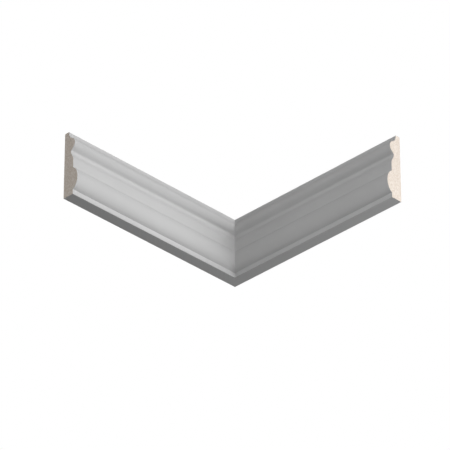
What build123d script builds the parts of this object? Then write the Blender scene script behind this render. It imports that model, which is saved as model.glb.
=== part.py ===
from build123d import *

import os
from math import acos, cos, degrees, radians, sin

# A wall moulding turned through an inside corner: two lengths of one run moulding,
# mitred and glued end to end. Millimetres. The origin is on the line where the two
# walls meet, at the bottom edge; the right length runs along +X with its back on y = 0
# and the left length runs away at the corner angle, along -Y at 90 degrees.

# The corner and the two lengths, measured along the wall from its corner
CORNER_ANGLE = 90.0
LEFT_LENGTH = 221.5
RIGHT_LENGTH = 214.0

# The board that the section is run from
HEIGHT = 70.0
THICKNESS = 18.0
ARRIS_RADIUS = 0.5

# Members of the section, top to bottom; "behind" and "before" are across the thickness
TOP_FILLET_HEIGHT = 1.8
COVE_RADIUS = 6.9
COVE_BEHIND_UPPER_BEAD = 8.0
UPPER_BEAD_RADIUS = 6.9
UPPER_BEAD_BEHIND_FACE = 4.5
UPPER_BEAD_TURN = 40.0
UNDERSIDE_RADIUS = 11.8
HOLLOW_RADIUS = 2.6
HOLLOW_BEHIND_UPPER_BEAD = 4.85
SWEEP_RADIUS = 7.2
SHOULDER_RADIUS = 10.2
BAND_BEFORE_HOLLOW = 3.3
BAND_FLAT_HEIGHT = 8.3
LOWER_BEAD_AXIS_BEHIND_FACE = 8.7
BOTTOM_FILLET_BEHIND_FACE = 5.8
BOTTOM_FILLET_HEIGHT = 4.95

UP = (0, 1)
DOWN = (0, -1)


def tangent_arcs(start, *bends):
    """Arcs joined end to end from start, heading down; a bend is a radius and a turn outwards."""
    arcs = []
    point, heading = start, DOWN
    for radius, turn in bends:
        arcs.append(JernArc(point, heading, radius, turn))
        point, heading = arcs[-1] @ 1, arcs[-1] % 1
    return arcs, point


def arcs_through(start, heading, *points):
    """Arcs joined end to end from start, each ending at the next point."""
    arcs = []
    for point in points:
        arcs.append(TangentArc(start, point, tangent=heading))
        start, heading = point, arcs[-1] % 1
    return arcs


def steepest_turn(step, first_radius, second_radius, turned=0.0):
    """How far two opposite arcs turn from upright where they meet, to end upright a step across."""
    both_radii = first_radius + second_radius
    return degrees(acos((first_radius * cos(radians(turned)) + second_radius - step) / both_radii))


def moulding_section():
    """The section as one face: X is the depth from the wall, Y the height."""
    upper_bead_depth = THICKNESS - UPPER_BEAD_BEHIND_FACE
    top_fillet_depth = upper_bead_depth - COVE_BEHIND_UPPER_BEAD
    bottom_fillet_depth = THICKNESS - BOTTOM_FILLET_BEHIND_FACE

    # The cove swings out from under the top fillet and turns over into the upper bead
    cove_start = Vector(top_fillet_depth, HEIGHT - TOP_FILLET_HEIGHT)
    cove_turn = steepest_turn(COVE_BEHIND_UPPER_BEAD, COVE_RADIUS, UPPER_BEAD_RADIUS)
    cove, bead_nose = tangent_arcs(cove_start, (COVE_RADIUS, cove_turn), (UPPER_BEAD_RADIUS, -cove_turn))

    # Past its nose the bead flattens into a straighter underside and ends in a tight hollow
    nose_step = UPPER_BEAD_RADIUS * (1 - cos(radians(UPPER_BEAD_TURN)))
    under_step = HOLLOW_BEHIND_UPPER_BEAD - nose_step
    under_turn = steepest_turn(under_step, UNDERSIDE_RADIUS, HOLLOW_RADIUS, turned=UPPER_BEAD_TURN)
    under_bead, hollow = tangent_arcs(
        bead_nose,
        (UPPER_BEAD_RADIUS, -UPPER_BEAD_TURN),
        (UNDERSIDE_RADIUS, UPPER_BEAD_TURN - under_turn),
        (HOLLOW_RADIUS, under_turn),
    )

    # The hollow sweeps out over a round shoulder to the flat band, which stops in a sharp quirk
    sweep_turn = steepest_turn(BAND_BEFORE_HOLLOW, SWEEP_RADIUS, SHOULDER_RADIUS)
    shoulder, band_top = tangent_arcs(hollow, (SWEEP_RADIUS, sweep_turn), (SHOULDER_RADIUS, -sweep_turn))
    quirk = band_top - Vector(0, BAND_FLAT_HEIGHT)
    band = Line(band_top, quirk)

    # The lower bead follows an ellipse that touches the face, from the bottom fillet up to the quirk
    bead_end = Vector(bottom_fillet_depth, BOTTOM_FILLET_HEIGHT)
    half_depth = LOWER_BEAD_AXIS_BEHIND_FACE
    axis_depth = THICKNESS - half_depth
    below = acos((bead_end.X - axis_depth) / half_depth)
    above = acos((quirk.X - axis_depth) / half_depth)
    half_height = (quirk.Y - bead_end.Y) / (sin(below) + sin(above))
    axis_height = bead_end.Y + half_height * sin(below)

    def on_ellipse(angle):
        return Vector(axis_depth + half_depth * cos(angle), axis_height + half_height * sin(angle))

    # Two arcs draw each side of it, a wide one at the nose and a tight one at the lip
    face_nose = on_ellipse(0)
    lower_bead = [
        *arcs_through(face_nose, UP, on_ellipse(above / 2), quirk),
        *arcs_through(face_nose, DOWN, on_ellipse(-below / 2), bead_end),
    ]

    # The two fillets, the edges of the board and its flat back
    bottom_arris = Vector(bottom_fillet_depth, 0)
    top_arris = Vector(top_fillet_depth, HEIGHT)
    board = Polyline(bead_end, bottom_arris, (0, 0), (0, HEIGHT), top_arris, cove_start)

    section = make_face([*cove, *under_bead, *shoulder, band, *lower_bead, *board.edges()])
    corners = section.vertices()
    eased = [corners.sort_by_distance(arris)[0] for arris in (bottom_arris, top_arris)]
    return fillet(eased, ARRIS_RADIUS)


def mitred_length(length):
    """One length along +X, back on y = 0, cut on the mitre that halves the corner."""
    wall_plane = Plane(origin=(0, 0, 0), x_dir=(0, -1, 0), z_dir=(-1, 0, 0))
    bar = extrude(wall_plane * moulding_section(), -length)
    return split(bar, bisect_by=mitre_plane, keep=Keep.TOP)


# The mitre stands upright through the corner and halves its angle; its upper side is the right one
mitre_line = Vector(1, 0, 0).rotate(Axis.Z, -CORNER_ANGLE / 2)
mitre_plane = Plane(origin=(0, 0, 0), x_dir=mitre_line, z_dir=Vector(0, 0, 1).cross(mitre_line))

right_length = mitred_length(RIGHT_LENGTH)
left_length = mirror(mitred_length(LEFT_LENGTH), about=mitre_plane)

os.makedirs("parts", exist_ok=True)
export_step(right_length, "parts/right_length.step")
export_step(left_length, "parts/left_length.step")
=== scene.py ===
from math import cos, radians, sin, tan

import bmesh
import bpy
from mathutils import Matrix, Vector


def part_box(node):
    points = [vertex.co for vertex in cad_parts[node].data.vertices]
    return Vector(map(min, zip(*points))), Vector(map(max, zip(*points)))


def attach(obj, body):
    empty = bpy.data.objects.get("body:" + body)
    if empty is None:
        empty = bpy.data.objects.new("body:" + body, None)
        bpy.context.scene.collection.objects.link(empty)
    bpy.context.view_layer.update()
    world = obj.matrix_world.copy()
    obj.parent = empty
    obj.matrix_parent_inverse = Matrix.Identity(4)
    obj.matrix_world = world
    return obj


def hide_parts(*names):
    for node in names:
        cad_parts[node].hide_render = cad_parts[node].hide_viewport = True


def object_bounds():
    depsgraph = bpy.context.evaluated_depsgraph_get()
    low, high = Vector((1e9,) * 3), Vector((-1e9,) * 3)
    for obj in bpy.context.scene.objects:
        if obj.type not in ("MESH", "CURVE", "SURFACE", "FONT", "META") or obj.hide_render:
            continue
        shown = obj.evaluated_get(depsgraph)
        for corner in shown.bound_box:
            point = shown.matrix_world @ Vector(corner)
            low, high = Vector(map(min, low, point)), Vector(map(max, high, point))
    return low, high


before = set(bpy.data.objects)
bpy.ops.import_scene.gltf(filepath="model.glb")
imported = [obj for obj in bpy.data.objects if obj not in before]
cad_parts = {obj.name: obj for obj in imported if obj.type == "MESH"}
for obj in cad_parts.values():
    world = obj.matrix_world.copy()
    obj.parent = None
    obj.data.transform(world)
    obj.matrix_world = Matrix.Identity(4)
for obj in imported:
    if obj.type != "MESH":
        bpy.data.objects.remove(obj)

cad_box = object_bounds()

# The moulding
# Two lengths of one fibreboard moulding, run through shaped knives, sanded, and primed on
# the face and both edges. The backs stay bare for the adhesive. Each length is sawn square
# at its free end and mitred at the other, where the two are glued into an inside corner.

MM = 0.001
SAME_POINT = 0.01 * MM
SHARPEST_ARC_TURN = radians(60)
CREASE = radians(30)


def end_outline(solid, axis):
    """The section, point by point as (depth, height), read round the square sawn end of a length."""
    mesh = bmesh.new()
    mesh.from_mesh(solid.data)
    bmesh.ops.remove_doubles(mesh, verts=mesh.verts, dist=SAME_POINT)
    reach = max(abs(v.co[axis]) for v in mesh.verts)
    end = {v for v in mesh.verts if reach - abs(v.co[axis]) < SAME_POINT}
    sawn = {f for f in mesh.faces if end.issuperset(f.verts)}
    rim = [e for f in sawn for e in f.edges if not sawn.issuperset(e.link_faces)]
    edge = rim[0]
    point = edge.verts[0]
    outline = []
    while not outline or edge is not rim[0]:
        outline.append(Vector((abs(point.co[1 - axis]), point.co.z)))
        edge = next(e for e in rim if point in e.verts and e is not edge)
        point = edge.other_vert(point)
    mesh.free()
    return outline


def rounded(outline):
    """The outline with a point added on the arc over each chord; flats and corners stay as they are."""
    count = len(outline)
    chords = [outline[(i + 1) % count] - outline[i] for i in range(count)]
    turns = [chords[i - 1].angle_signed(chords[i]) for i in range(count)]
    finer = []
    for i, chord in enumerate(chords):
        finer.append(outline[i])
        ends = (turns[i], turns[(i + 1) % count])
        if ends[0] * ends[1] > 0 and max(map(abs, ends)) < SHARPEST_ARC_TURN:
            arc = min(ends, key=abs)
            finer.append(outline[i] + chord / 2 + Vector((-chord.y, chord.x)) * tan(arc / 4) / 2)
    return finer


section = rounded(rounded(end_outline(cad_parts["right_length"], axis=0)))


def linear(colour):
    """An sRGB hex colour as the linear RGBA that a shader's socket takes."""
    shares = [int(colour[i : i + 2], 16) / 255 for i in (1, 3, 5)]
    return [s / 12.92 if s <= 0.04045 else ((s + 0.055) / 1.055) ** 2.4 for s in shares] + [1.0]


def add_node(tree, kind, inputs, **settings):
    """Adds a node with its settings; each input is a value, or the socket that it is linked from."""
    node = tree.nodes.new(kind)
    for name, value in settings.items():
        setattr(node, name, value)
    for name, value in inputs.items():
        if isinstance(value, bpy.types.NodeSocket):
            tree.links.new(value, node.inputs[name])
        else:
            node.inputs[name].default_value = value
    return node


# Matt acrylic primer, sprayed and cured: an even light grey, with a faint orange peel that
# only raking light shows and a slight clouding where the coat is thinner.
PRIMER_THIN = "#CBCBCB"
PRIMER_THICK = "#CFCFCF"
PRIMER_CLOUD_MM = 30
ORANGE_PEEL_MM = 1.5
ORANGE_PEEL_DEPTH_MM = 0.01

primer = bpy.data.materials.new("matt_primer_on_fibreboard")
primer.use_nodes = True
tree = primer.node_tree
place = add_node(tree, "ShaderNodeTexCoord", {}).outputs["Object"]
cloud = add_node(tree, "ShaderNodeTexNoise", {"Vector": place, "Scale": 1 / (PRIMER_CLOUD_MM * MM)})
coat = add_node(tree, "ShaderNodeMixRGB", {
    "Fac": cloud.outputs["Fac"],
    "Color1": linear(PRIMER_THIN),
    "Color2": linear(PRIMER_THICK),
})
peel = add_node(tree, "ShaderNodeTexNoise", {"Vector": place, "Scale": 1 / (ORANGE_PEEL_MM * MM)})
bump = add_node(tree, "ShaderNodeBump", {
    "Height": peel.outputs["Fac"],
    "Distance": ORANGE_PEEL_DEPTH_MM * MM,
})
shader = tree.nodes["Principled BSDF"]
tree.links.new(coat.outputs["Color"], shader.inputs["Base Color"])
tree.links.new(bump.outputs["Normal"], shader.inputs["Normal"])
shader.inputs["Roughness"].default_value = 0.9
shader.inputs["Specular IOR Level"].default_value = 0.05

# Bare fibreboard, sawn or sanded: pale wood fibre pressed with resin, with light and dark
# flecks but no grain, dry and slightly furry. Real fibres are too fine to show, so the flecks
# and the fur are drawn coarser and deeper.
FIBRE_PALE = "#F4EAE0"
FIBRE_DARK = "#E4D7C9"
FIBRE_FLECK_MM = 1.2
ALL_DARK_BELOW = 0.35
ALL_PALE_ABOVE = 0.65
FIBRE_FUR_MM = 1.0
FIBRE_FUR_DEPTH_MM = 0.4

bare_board = bpy.data.materials.new("bare_fibreboard")
bare_board.use_nodes = True
tree = bare_board.node_tree
place = add_node(tree, "ShaderNodeTexCoord", {}).outputs["Object"]
fleck = add_node(tree, "ShaderNodeTexNoise", {
    "Vector": place,
    "Scale": 1 / (FIBRE_FLECK_MM * MM),
    "Detail": 1.0,
})
dark_to_pale = add_node(tree, "ShaderNodeMapRange", {
    "Value": fleck.outputs["Fac"],
    "From Min": ALL_DARK_BELOW,
    "From Max": ALL_PALE_ABOVE,
})
fibre = add_node(tree, "ShaderNodeMixRGB", {
    "Fac": dark_to_pale.outputs["Result"],
    "Color1": linear(FIBRE_DARK),
    "Color2": linear(FIBRE_PALE),
})
fur = add_node(tree, "ShaderNodeTexNoise", {"Vector": place, "Scale": 1 / (FIBRE_FUR_MM * MM)})
bump = add_node(tree, "ShaderNodeBump", {
    "Height": fur.outputs["Fac"],
    "Distance": FIBRE_FUR_DEPTH_MM * MM,
})
shader = tree.nodes["Principled BSDF"]
tree.links.new(fibre.outputs["Color"], shader.inputs["Base Color"])
tree.links.new(bump.outputs["Normal"], shader.inputs["Normal"])
shader.inputs["Roughness"].default_value = 1.0
shader.inputs["Specular IOR Level"].default_value = 0.05

# One tree runs the section out to a length, shears its inner end to the mitre, turns it to
# its own wall and gives the machined faces primer and the sawn and back faces bare board.
run = bpy.data.node_groups.new("run_moulding", "GeometryNodeTree")
run.interface.new_socket("Section", in_out="INPUT", socket_type="NodeSocketGeometry")
length_input = run.interface.new_socket("Length", in_out="INPUT", socket_type="NodeSocketFloat")
left_input = run.interface.new_socket("On left wall", in_out="INPUT", socket_type="NodeSocketBool")
primer_input = run.interface.new_socket("Machined faces", in_out="INPUT", socket_type="NodeSocketMaterial")
bare_input = run.interface.new_socket("Sawn faces", in_out="INPUT", socket_type="NodeSocketMaterial")
run.interface.new_socket("Moulding", in_out="OUTPUT", socket_type="NodeSocketGeometry")

given = add_node(run, "NodeGroupInput", {}).outputs
bar = add_node(run, "GeometryNodeExtrudeMesh", {
    "Mesh": given["Section"],
    "Offset": (1, 0, 0),
    "Offset Scale": given["Length"],
    "Individual": False,
})
start = add_node(run, "GeometryNodeFlipFaces", {"Mesh": given["Section"]})
closed = add_node(run, "GeometryNodeJoinGeometry", {})
run.links.new(bar.outputs["Mesh"], closed.inputs["Geometry"])
run.links.new(start.outputs["Mesh"], closed.inputs["Geometry"])
welded = add_node(run, "GeometryNodeMergeByDistance", {
    "Geometry": closed.outputs["Geometry"],
    "Distance": SAME_POINT,
})

# Bare faces look along the length or back at the wall; no machined face does either
facing = add_node(run, "ShaderNodeSeparateXYZ", {
    "Vector": add_node(run, "GeometryNodeInputNormal", {}).outputs["Normal"],
}).outputs
along = add_node(run, "ShaderNodeMath", {0: facing["X"]}, operation="ABSOLUTE")
bareness = add_node(run, "ShaderNodeMath", {0: along.outputs[0], 1: facing["Y"]}, operation="ADD")
is_bare = add_node(run, "ShaderNodeMath", {0: bareness.outputs[0], 1: 0.5}, operation="GREATER_THAN")
marked = add_node(run, "GeometryNodeStoreNamedAttribute", {
    "Geometry": welded.outputs["Geometry"],
    "Name": "bare",
    "Value": is_bare.outputs[0],
}, data_type="BOOLEAN", domain="FACE")

# At the mitre each point moves along by its own depth, and at the sawn end not at all
at = add_node(run, "ShaderNodeSeparateXYZ", {
    "Vector": add_node(run, "GeometryNodeInputPosition", {}).outputs["Position"],
}).outputs
share = add_node(run, "ShaderNodeMath", {0: at["X"], 1: given["Length"]}, operation="DIVIDE")
short_of_end = add_node(run, "ShaderNodeMath", {0: share.outputs[0], 1: 1.0}, operation="SUBTRACT")
mitred = add_node(run, "ShaderNodeMath", {
    0: at["Y"],
    1: short_of_end.outputs[0],
    2: at["X"],
}, operation="MULTIPLY_ADD")
on_right = add_node(run, "ShaderNodeCombineXYZ", {"X": mitred.outputs[0], "Y": at["Y"], "Z": at["Z"]})
swapped = add_node(run, "ShaderNodeCombineXYZ", {"X": at["Y"], "Y": mitred.outputs[0], "Z": at["Z"]})
on_left = add_node(run, "ShaderNodeVectorMath", {
    0: swapped.outputs["Vector"],
    1: (-1, -1, 1),
}, operation="MULTIPLY")
placed = add_node(run, "GeometryNodeSwitch", {
    "Switch": given["On left wall"],
    "False": on_right.outputs["Vector"],
    "True": on_left.outputs["Vector"],
}, input_type="VECTOR")
fitted = add_node(run, "GeometryNodeSetPosition", {
    "Geometry": marked.outputs["Geometry"],
    "Position": placed.outputs["Output"],
})
outward = add_node(run, "GeometryNodeFlipFaces", {
    "Mesh": fitted.outputs["Geometry"],
    "Selection": given["On left wall"],
})
real = add_node(run, "GeometryNodeRealizeInstances", {"Geometry": outward.outputs["Mesh"]})
painted = add_node(run, "GeometryNodeSetMaterial", {
    "Geometry": real.outputs["Geometry"],
    "Material": given["Machined faces"],
})
bare = add_node(run, "GeometryNodeInputNamedAttribute", {"Name": "bare"}, data_type="BOOLEAN")
finished = add_node(run, "GeometryNodeSetMaterial", {
    "Geometry": painted.outputs["Geometry"],
    "Selection": bare.outputs["Attribute"],
    "Material": given["Sawn faces"],
})
add_node(run, "NodeGroupOutput", {"Moulding": finished.outputs["Geometry"]})


def run_length(name, length, on_left):
    """One finished length as a plain mesh object, from the section's face and the tree above."""
    face = bpy.data.meshes.new(name + "_section")
    face.from_pydata([(0, -depth, height) for depth, height in section], [], [range(len(section))])
    if face.polygons[0].normal.x < 0:
        face.flip_normals()
    piece = bpy.data.objects.new(name, face)
    bpy.context.scene.collection.objects.link(piece)
    modifier = piece.modifiers.new("run", "NODES")
    modifier.node_group = run
    modifier[length_input.identifier] = length
    modifier[left_input.identifier] = on_left
    modifier[primer_input.identifier] = primer
    modifier[bare_input.identifier] = bare_board
    shaped = piece.evaluated_get(bpy.context.evaluated_depsgraph_get())
    piece.data = bpy.data.meshes.new_from_object(shaped)
    piece.modifiers.clear()
    piece.data.shade_smooth()
    piece.data.set_sharp_from_angle(angle=CREASE)
    return piece


right_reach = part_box("right_length")[1].x
left_reach = -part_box("left_length")[0].y
right_length = run_length("right_length_primed", right_reach, on_left=False)
left_length = run_length("left_length_primed", left_reach, on_left=True)
for piece, node in ((right_length, "right_length"), (left_length, "left_length")):
    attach(piece, "root")
    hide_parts(node)

# The floor
# A plain floor under the corner, with a glow of its own that keeps it pale under dim lamps.
# It shows only from above, where it holds the shadow; from below it lets the view and the
# light through to the bottom edge.
FLOOR_GAP_MM = 0.3
FLOOR_HALF_MM = 4000
FLOOR_COLOUR = "#F2F2F2"
FLOOR_GLOW = 0.7

floor_mesh = bpy.data.meshes.new("floor")
floor_half = FLOOR_HALF_MM * MM
floor_z = -FLOOR_GAP_MM * MM
corners = [(x * floor_half, y * floor_half, floor_z) for x, y in ((-1, -1), (1, -1), (1, 1), (-1, 1))]
floor_mesh.from_pydata(corners, [], [range(len(corners))])
floor = bpy.data.objects.new("floor", floor_mesh)
bpy.context.scene.collection.objects.link(floor)
pale = bpy.data.materials.new("pale_floor")
pale.use_nodes = True
tree = pale.node_tree
tree.nodes.clear()
matt = add_node(tree, "ShaderNodeBsdfDiffuse", {"Color": linear(FLOOR_COLOUR)})
glow = add_node(tree, "ShaderNodeEmission", {"Color": linear(FLOOR_COLOUR), "Strength": 1.0})
top = add_node(tree, "ShaderNodeMixShader", {"Fac": FLOOR_GLOW, 1: matt.outputs[0], 2: glow.outputs[0]})
clear = add_node(tree, "ShaderNodeBsdfTransparent", {})
side = add_node(tree, "ShaderNodeNewGeometry", {})
seen = add_node(tree, "ShaderNodeMixShader", {
    "Fac": side.outputs["Backfacing"],
    1: top.outputs[0],
    2: clear.outputs[0],
})
add_node(tree, "ShaderNodeOutputMaterial", {"Surface": seen.outputs[0]})
floor_mesh.materials.append(pale)
floor.visible_diffuse = False
floor.visible_glossy = False
floor.visible_transmission = False
floor.visible_shadow = False

# The studio
# Soft lamps, most of them on the right, where the left length's face looks, and weaker ones
# in front and below, as in the picture; one behind lights the backs, which it doesn't show.
# The backdrop is white to the eye and to reflections and gives a dim fill.
BACKDROP_COLOUR = "#FFFFFF"
FILL = 0.03

world = bpy.data.worlds.new("studio")
bpy.context.scene.world = world
world.use_nodes = True
tree = world.node_tree
tree.nodes.clear()
rays = add_node(tree, "ShaderNodeLightPath", {}).outputs
shiny = add_node(tree, "ShaderNodeMath", {
    0: rays["Is Glossy Ray"],
    1: rays["Is Transmission Ray"],
}, operation="MAXIMUM")
looked_at = add_node(tree, "ShaderNodeMath", {
    0: rays["Is Camera Ray"],
    1: shiny.outputs[0],
}, operation="MAXIMUM")
fill = add_node(tree, "ShaderNodeBackground", {"Color": linear(BACKDROP_COLOUR), "Strength": FILL})
white = add_node(tree, "ShaderNodeBackground", {"Color": linear(BACKDROP_COLOUR), "Strength": 1.0})
backdrop = add_node(tree, "ShaderNodeMixShader", {
    "Fac": looked_at.outputs[0],
    1: fill.outputs[0],
    2: white.outputs[0],
})
add_node(tree, "ShaderNodeOutputWorld", {"Surface": backdrop.outputs[0]})

middle = (cad_box[0] + cad_box[1]) / 2


def direction(azimuth, elevation):
    """The way from the object to a camera or lamp; azimuth 0 is in front, on -Y, and 90 on +X."""
    a = radians(azimuth)
    e = radians(elevation)
    return Vector((sin(a) * cos(e), -cos(a) * cos(e), sin(e)))


def hang_lamp(name, azimuth, elevation, distance, size, watts):
    """A square area lamp that looks at the middle of the object; its distance and size are in metres."""
    lamp = bpy.data.lights.new(name, "AREA")
    lamp.size = size
    lamp.energy = watts
    hung = bpy.data.objects.new(name, lamp)
    way = direction(azimuth, elevation)
    turned = (-way).to_track_quat("-Z", "Y").to_matrix().to_4x4()
    hung.matrix_world = Matrix.Translation(middle + way * distance) @ turned
    hung.visible_camera = False
    bpy.context.scene.collection.objects.link(hung)


hang_lamp("key", azimuth=60, elevation=0, distance=1.2, size=0.6, watts=7.9)
hang_lamp("right", azimuth=105, elevation=20, distance=2.5, size=1.2, watts=25.5)
hang_lamp("front", azimuth=-15, elevation=0, distance=2.5, size=1.2, watts=10)
hang_lamp("low_right", azimuth=135, elevation=-40, distance=0.6, size=0.3, watts=0.55)
hang_lamp("far_right", azimuth=150, elevation=-20, distance=1.2, size=0.6, watts=3.2)
hang_lamp("below", azimuth=-90, elevation=-60, distance=1.2, size=0.6, watts=1.4)
hang_lamp("back", azimuth=235, elevation=20, distance=1.2, size=0.6, watts=10)

# The camera
# A long lens below and in front of the corner, looking up into it, as the picture was taken.
LENS_MM = 320
CAMERA_AZIMUTH = 44.94
CAMERA_ELEVATION = -31.75
CAMERA_DISTANCE_MM = 3777
CENTRE_RIGHT_OF_CORNER_MM = -9.37
CENTRE_ABOVE_CORNER_MM = 58.59

towards_camera = direction(CAMERA_AZIMUTH, CAMERA_ELEVATION)
turned = (-towards_camera).to_track_quat("-Z", "Y").to_matrix()
aim = turned @ Vector((CENTRE_RIGHT_OF_CORNER_MM * MM, CENTRE_ABOVE_CORNER_MM * MM, 0))
camera = bpy.data.objects.new("camera", bpy.data.cameras.new("camera"))
camera.data.lens = LENS_MM
stand = aim + towards_camera * CAMERA_DISTANCE_MM * MM
camera.matrix_world = Matrix.Translation(stand) @ turned.to_4x4()
bpy.context.scene.collection.objects.link(camera)
bpy.context.scene.camera = camera
bpy.context.scene.view_settings.view_transform = "Standard"

bpy.context.view_layer.update()
